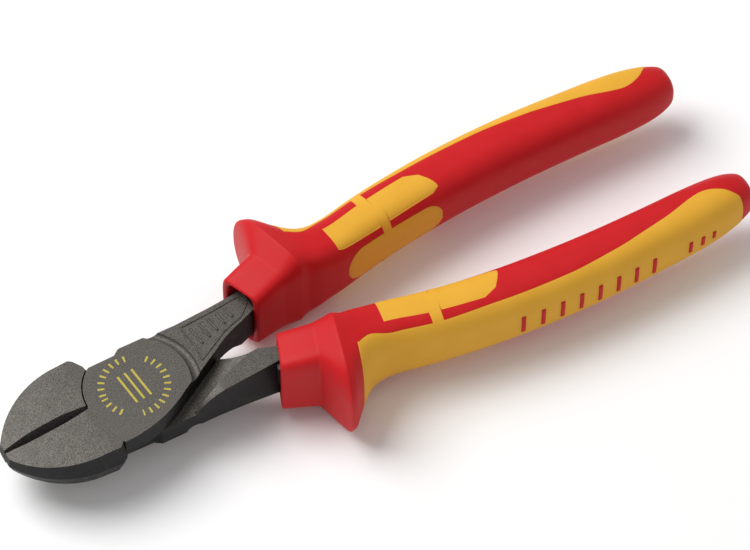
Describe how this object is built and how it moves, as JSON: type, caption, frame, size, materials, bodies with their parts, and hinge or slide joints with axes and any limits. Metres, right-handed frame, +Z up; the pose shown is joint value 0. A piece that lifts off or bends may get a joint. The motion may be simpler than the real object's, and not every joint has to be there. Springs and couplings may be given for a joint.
{
  "type": "diagonal cutting pliers",
  "caption": "Insulated diagonal cutting pliers with forged lap-joint head, curved two-colour handles and raised thumb guards; jaws closed, hinged to open.",
  "frame": {"origin": "under the middle of the tool: half way between jaw tips and handle ends, on the surface that the thumb guards rest on", "axes": "+X from the jaws to the handle ends, +Z up through the front joint face, +Y towards the front lever's handle"},
  "size_m": [0.1979, 0.062, 0.028],
  "materials": {
    "forged_steel": "phosphated forging, matt and finely grained",
    "pin_steel": "riveted head, ground flush and phosphated",
    "core_plastic": "hard moulded sleeve, hidden",
    "red_shell": "hard moulded plastic, satin",
    "soft_inlay": "soft moulded inlay, matt"
  },
  "bodies": {
    "front_half": {"front_lever": "forged_steel", "pivot_pin": "pin_steel", "front_handle_core": "core_plastic", "front_handle_body": "red_shell", "front_soft_grip": "soft_inlay"},
    "back_half": {"back_lever": "forged_steel", "back_handle_core": "core_plastic", "back_handle_body": "red_shell", "back_soft_grip": "soft_inlay"}
  },
  "joints": [
    {"name": "pivot", "type": "hinge", "parent": "front_half", "child": "back_half", "pos_m": [-0.0635, 0, 0.014], "axis": [0, 0, -1], "range_deg": [0, 50]}
  ]
}
